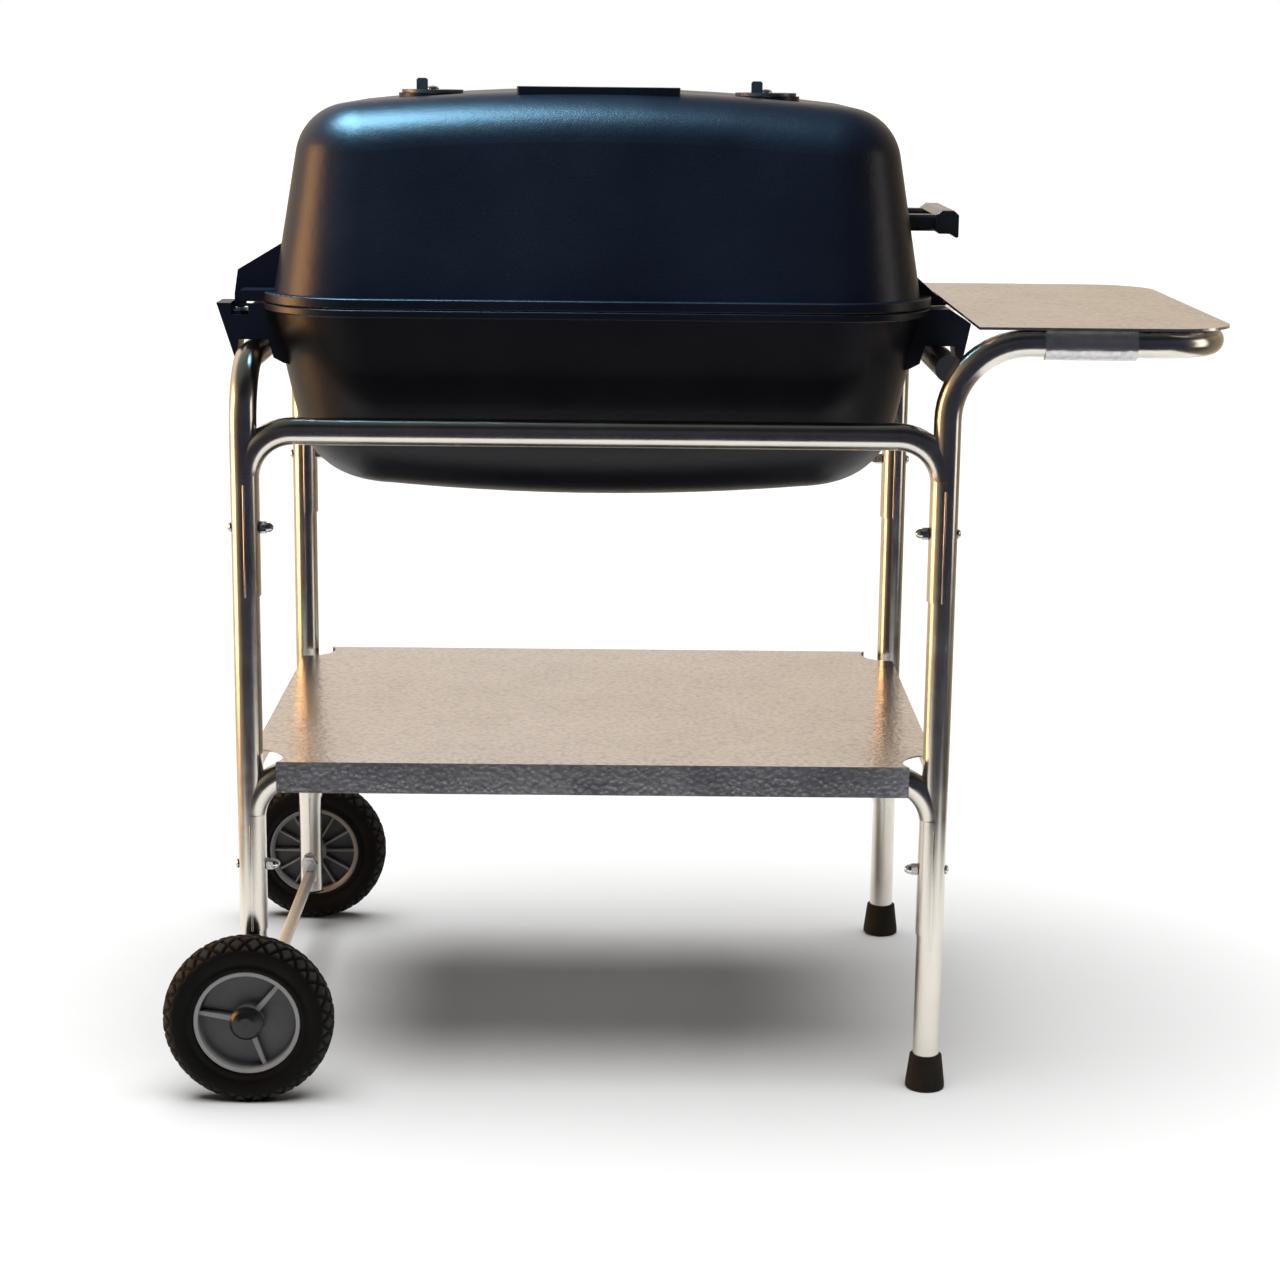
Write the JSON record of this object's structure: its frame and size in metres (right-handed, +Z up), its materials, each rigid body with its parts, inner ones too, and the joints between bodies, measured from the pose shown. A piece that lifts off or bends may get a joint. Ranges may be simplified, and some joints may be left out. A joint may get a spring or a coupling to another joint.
{
  "type": "charcoal grill",
  "caption": "Cast capsule charcoal grill with a hinged clamshell lid and rotary vents, on a wheeled tube cart with a lower tray and a side shelf.",
  "frame": {"origin": "on the floor, under the middle of the bounding box", "axes": "+X towards the side shelf, the wheels at -X; -Y is the front, where the cook stands; +Z up"},
  "size_m": [0.997, 0.6016, 0.9553],
  "materials": {
    "cast_shell": "satin graphite-black baked coating over a sand-textured aluminium casting",
    "polished_tube": "polished bright aluminium tube with fine drawing lines",
    "hammered_sheet": "silver-vein hammered powder coat, semi-gloss",
    "plated_hardware": "bright zinc and nickel plating",
    "grate_wire": "chrome-plated steel wire",
    "damper_casting": "as-cast aluminium, lightly polished",
    "handle_plastic": "glossy black heat-resistant plastic",
    "rim_plastic": "grey moulded plastic, satin",
    "cap_plastic": "black moulded plastic",
    "tyre_rubber": "black tread rubber",
    "foot_rubber": "black rubber, dull"
  },
  "bodies": {
    "cart": {"left_leg_frame": "polished_tube", "right_leg_frame": "polished_tube", "right_cross_rail": "polished_tube", "upper_brace_front": "polished_tube", "upper_brace_rear": "polished_tube", "lower_brace_front": "polished_tube", "lower_brace_rear": "polished_tube", "brace_bolts": "plated_hardware", "brace_nuts": "plated_hardware", "lower_tray": "hammered_sheet", "side_shelf": "hammered_sheet", "axle_bolts": "plated_hardware", "axle_nuts": "plated_hardware", "axle_spacers": "plated_hardware", "leg_strut": "polished_tube", "leg_plugs": "cap_plastic", "foot_front": "foot_rubber", "foot_rear": "foot_rubber", "firebox_shell": "cast_shell", "bottom_damper_bolts": "plated_hardware", "bottom_damper_springs": "plated_hardware", "bottom_damper_nuts": "plated_hardware"},
    "lid": {"lid_shell": "cast_shell", "badge_pad": "cast_shell", "lid_handle": "handle_plastic", "handle_screws": "plated_hardware", "top_damper_bolts": "plated_hardware", "top_damper_springs": "plated_hardware", "top_damper_nuts": "plated_hardware"},
    "cooking_grate": {"cooking_grate": "grate_wire"},
    "charcoal_grate": {"charcoal_grate": "grate_wire"},
    "top_damper_left": {"top_damper_left": "damper_casting"},
    "top_damper_right": {"top_damper_right": "damper_casting"},
    "bottom_damper_left": {"bottom_damper_left": "damper_casting"},
    "bottom_damper_right": {"bottom_damper_right": "damper_casting"},
    "wheel_front": {"wheel_rim_front": "rim_plastic", "tyre_front": "tyre_rubber", "hub_cap_front": "cap_plastic"},
    "wheel_rear": {"wheel_rim_rear": "rim_plastic", "tyre_rear": "tyre_rubber", "hub_cap_rear": "cap_plastic"}
  },
  "joints": [
    {"name": "lid_hinge", "type": "hinge", "parent": "cart", "child": "lid", "pos_m": [-0.4335, 0, 0.753], "axis": [0, -1, 0], "range_deg": [0, 92]},
    {"name": "top_damper_left_turn", "type": "hinge", "parent": "lid", "child": "top_damper_left", "pos_m": [-0.2505, -0.095, 0.9414], "axis": [0, 0, 1], "range_deg": [0, 60]},
    {"name": "top_damper_right_turn", "type": "hinge", "parent": "lid", "child": "top_damper_right", "pos_m": [0.0655, -0.095, 0.9414], "axis": [0, 0, 1], "range_deg": [0, 60]},
    {"name": "bottom_damper_left_turn", "type": "hinge", "parent": "cart", "child": "bottom_damper_left", "pos_m": [-0.2505, 0, 0.5625], "axis": [0, 0, 1], "range_deg": [0, 60]},
    {"name": "bottom_damper_right_turn", "type": "hinge", "parent": "cart", "child": "bottom_damper_right", "pos_m": [0.0655, 0, 0.5625], "axis": [0, 0, 1], "range_deg": [0, 60]},
    {"name": "cooking_grate_lift", "type": "slide", "parent": "cart", "child": "cooking_grate", "axis": [0, 0, 1], "range_m": [0, 0.012]},
    {"name": "charcoal_grate_lift", "type": "slide", "parent": "cart", "child": "charcoal_grate", "axis": [0, 0, 1], "range_m": [0, 0.09]},
    {"name": "wheel_front_spin", "type": "hinge", "parent": "cart", "child": "wheel_front", "pos_m": [-0.4175, -0.2782, 0.081], "axis": [0, 1, 0], "continuous": true},
    {"name": "wheel_rear_spin", "type": "hinge", "parent": "cart", "child": "wheel_rear", "pos_m": [-0.4175, 0.2782, 0.081], "axis": [0, 1, 0], "continuous": true}
  ]
}
